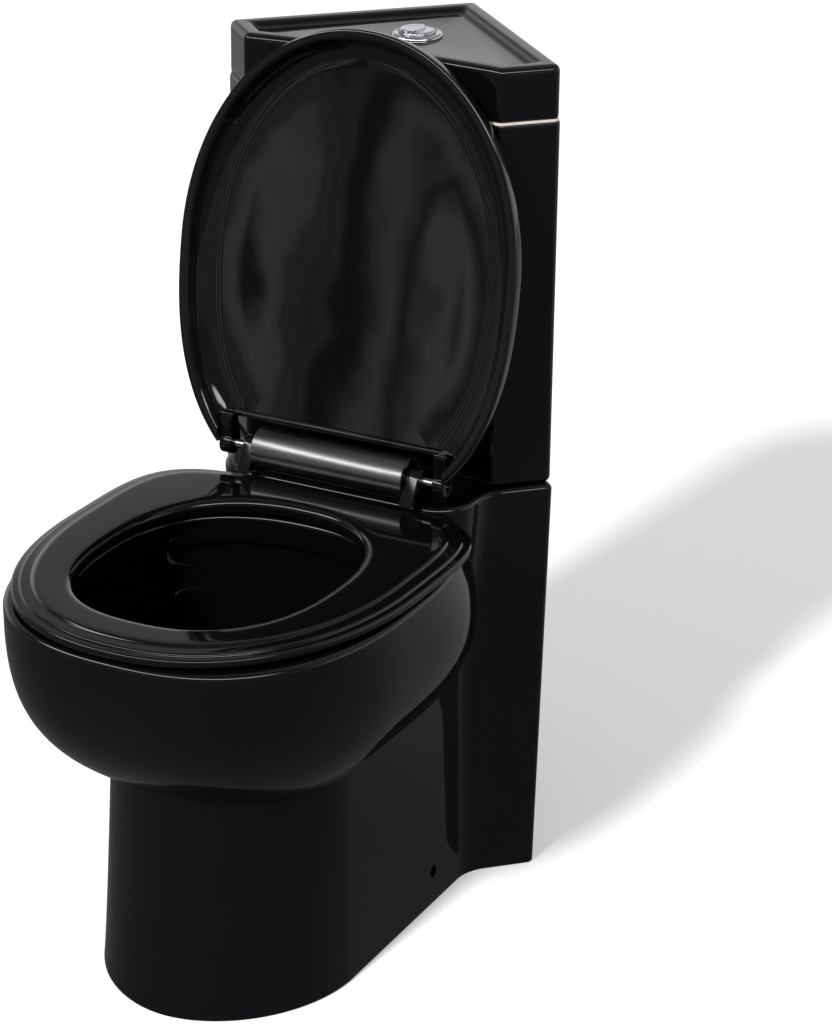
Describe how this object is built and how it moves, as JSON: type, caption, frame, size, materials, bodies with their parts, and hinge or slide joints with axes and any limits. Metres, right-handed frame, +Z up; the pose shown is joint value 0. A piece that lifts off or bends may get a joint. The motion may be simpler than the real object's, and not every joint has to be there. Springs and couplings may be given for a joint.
{
  "type": "corner toilet",
  "caption": "Close-coupled toilet for a room corner: china pan with bowl, trap and wall-shaped rear box, five-sided cistern with dual flush, and a seat and cover on a steel barrel hinge.",
  "frame": {"origin": "on the floor, at the middle of the overall width and depth", "axes": "+X to the right as seen by someone facing the toilet, -Y towards that person, +Z up, and the room corner at +Y"},
  "size_m": [0.3574, 0.6734, 0.8119],
  "materials": {
    "black_china": "high-gloss black glaze over vitreous china",
    "black_seat": "polished black thermoset",
    "black_moulding": "satin black",
    "brushed_barrel": "dark brushed along its length",
    "bright_steel": "drawn, bright",
    "button_chrome": "plated, polished",
    "white_valve_plastic": "satin",
    "blue_valve_plastic": "satin",
    "red_valve_plastic": "satin",
    "grey_valve_plastic": "satin",
    "black_rubber": "matt",
    "red_rubber": "matt",
    "brass": "plain turned"
  },
  "bodies": {
    "china": {"pan": "black_china", "cistern": "black_china", "cistern_lid": "black_china", "hinge_barrel": "brushed_barrel", "hinge_carrier": "black_moulding", "hinge_end_caps": "black_moulding", "hinge_dampers": "bright_steel", "hinge_pins": "bright_steel", "hinge_bolts": "bright_steel", "hinge_washers": "black_rubber", "hinge_wing_nuts": "white_valve_plastic", "button_bezel": "button_chrome", "button_clamp_nut": "white_valve_plastic", "full_button_spring": "bright_steel", "half_button_spring": "bright_steel", "flush_valve_body": "white_valve_plastic", "lever_pin": "bright_steel", "flush_valve_nut": "white_valve_plastic", "coupling_gasket": "black_rubber", "coupling_bolts": "brass", "coupling_bolt_seals": "black_rubber", "coupling_washers": "black_rubber", "coupling_wing_nuts": "white_valve_plastic", "fill_valve": "white_valve_plastic", "fill_valve_head": "blue_valve_plastic", "arm_pin": "bright_steel", "fill_valve_washer": "black_rubber", "fill_valve_nut": "white_valve_plastic"},
    "seat": {"seat_ring": "black_seat", "ring_hinge_blocks": "black_moulding", "ring_buffers": "black_rubber"},
    "cover": {"seat_cover": "black_seat", "cover_hinge_blocks": "black_moulding"},
    "full_button": {"button_full": "button_chrome", "full_push_rod": "white_valve_plastic"},
    "half_button": {"button_half": "button_chrome", "half_push_rod": "red_valve_plastic"},
    "full_lever": {"full_lift_lever": "white_valve_plastic"},
    "half_lever": {"half_lift_lever": "red_valve_plastic"},
    "valve_core": {"flush_valve_core": "blue_valve_plastic", "flush_seal": "red_rubber"},
    "half_sleeve": {"half_flush_sleeve": "red_valve_plastic"},
    "float": {"fill_float": "grey_valve_plastic"},
    "arm": {"float_arm": "white_valve_plastic"}
  },
  "joints": [
    {"name": "seat_hinge", "type": "hinge", "parent": "china", "child": "seat", "pos_m": [0, 0.06351, 0.417], "axis": [-1, 0, 0], "range_deg": [0, 95]},
    {"name": "cover_hinge", "type": "hinge", "parent": "china", "child": "cover", "pos_m": [0, 0.06351, 0.417], "axis": [-1, 0, 0], "range_deg": [-99.6, 0]},
    {"name": "full_flush_press", "type": "slide", "parent": "china", "child": "full_button", "axis": [0, 0, -1], "range_m": [0, 0.005], "stiffness_N_per_m": 500, "springref_m": -0.002, "deforming": ["full_button_spring"]},
    {"name": "half_flush_press", "type": "slide", "parent": "china", "child": "half_button", "axis": [0, 0, -1], "range_m": [0, 0.005], "stiffness_N_per_m": 500, "springref_m": -0.002, "deforming": ["half_button_spring"]},
    {"name": "full_lever_pivot", "type": "hinge", "parent": "china", "child": "full_lever", "pos_m": [-0.017, 0.2225, 0.649], "axis": [1, 0, 0], "range_deg": [0, 24]},
    {"name": "half_lever_pivot", "type": "hinge", "parent": "china", "child": "half_lever", "pos_m": [0.017, 0.2225, 0.649], "axis": [1, 0, 0], "range_deg": [0, 24]},
    {"name": "valve_core_lift", "type": "slide", "parent": "china", "child": "valve_core", "axis": [0, 0, 1], "range_m": [0, 0.0072]},
    {"name": "half_sleeve_lift", "type": "slide", "parent": "china", "child": "half_sleeve", "axis": [0, 0, 1], "range_m": [0, 0.0072]},
    {"name": "float_rise", "type": "slide", "parent": "china", "child": "float", "axis": [0, 0, 1], "range_m": [0, 0.015]},
    {"name": "float_arm_pivot", "type": "hinge", "parent": "china", "child": "arm", "pos_m": [-0.089, 0.1735, 0.649], "axis": [0, -1, 0], "range_deg": [0, 31]}
  ],
  "couplings": [
    {"joint": "full_lever_pivot", "follows": "full_flush_press", "rad_per_m": 83.333},
    {"joint": "valve_core_lift", "follows": "full_flush_press", "ratio": 1.4167},
    {"joint": "half_lever_pivot", "follows": "half_flush_press", "rad_per_m": 83.333},
    {"joint": "half_sleeve_lift", "follows": "half_flush_press", "ratio": 1.4167},
    {"joint": "float_arm_pivot", "follows": "float_rise", "rad_per_m": 35.714}
  ]
}
